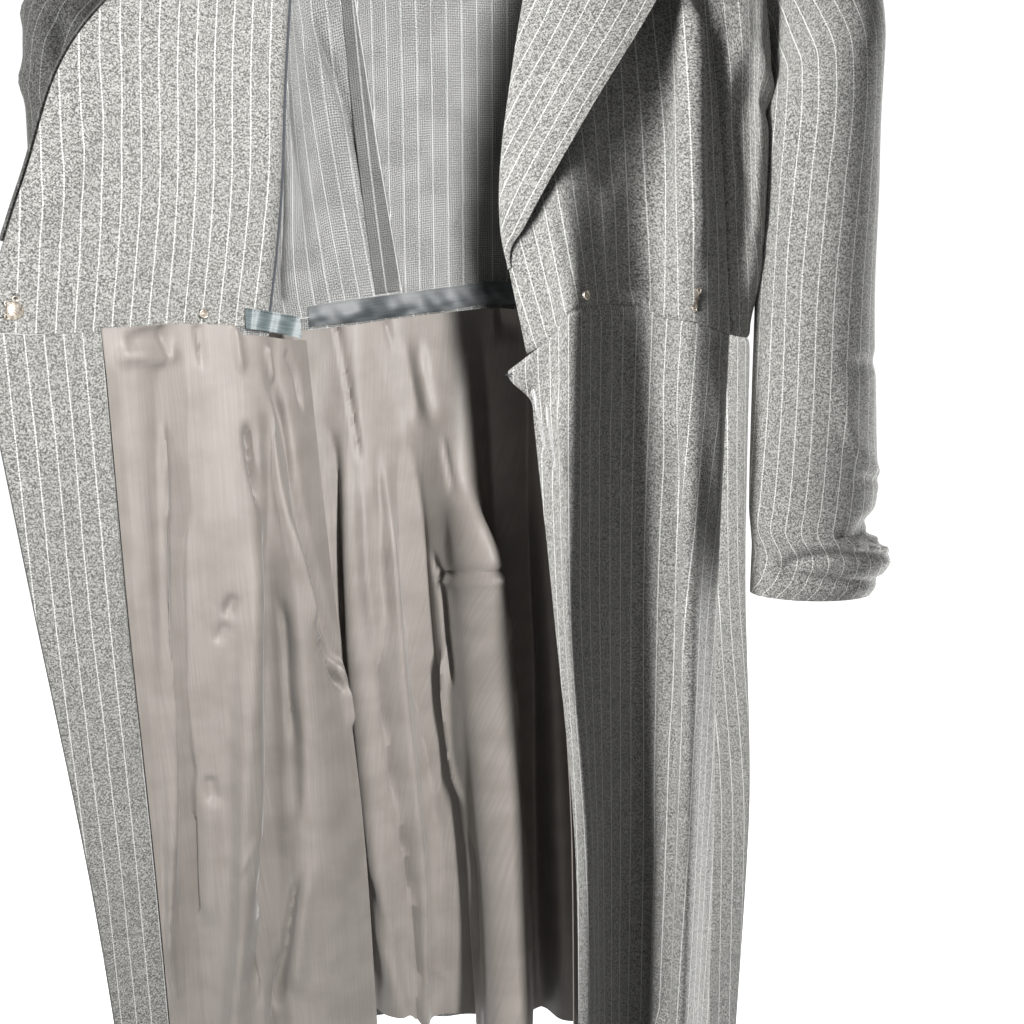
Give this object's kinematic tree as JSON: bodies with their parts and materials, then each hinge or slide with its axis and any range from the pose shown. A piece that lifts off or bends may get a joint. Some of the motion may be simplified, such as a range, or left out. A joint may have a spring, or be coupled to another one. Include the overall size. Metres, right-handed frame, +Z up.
{
  "type": "coat",
  "caption": "Long pinstripe wrap coat with long turned-back lapels, waist seam and satin skirt lining, hung empty with one front drawn open",
  "frame": {"origin": "the middle of the back neck seam, where the coat is held", "axes": "+Z up toward the neck, -Y the way the front faces, +X the wearer's left"},
  "size_m": [0.6885, 0.2611, 1.1264],
  "materials": {
    "wool": "mid-grey wool with a pale pinstripe",
    "satin": "taupe lining satin",
    "tape": "dark blue-grey satin tape",
    "metal": "nickelled steel"
  },
  "bodies": {
    "root": {"bodice_back": "wool", "bodice_side_R": "wool", "bodice_side_L": "wool", "bodice_front_R": "wool", "bodice_front_L": "wool", "facing_bodice_R": "wool", "lapel_L": "wool", "lapel_R": "wool", "collar": "wool", "sleeve_L": "wool", "sleeve_R": "wool", "skirt_back": "wool", "skirt_front_R": "wool", "skirt_front_L": "wool", "skirt_facing_R": "wool", "skirt_facing_L": "wool", "lining_front_R": "satin", "lining_back": "satin", "lining_front_L": "satin", "waist_tape": "tape", "ribbon_end": "tape", "hook": "metal", "bar": "metal", "snap_R": "metal", "snap_L": "metal"}
  },
  "joints": []
}
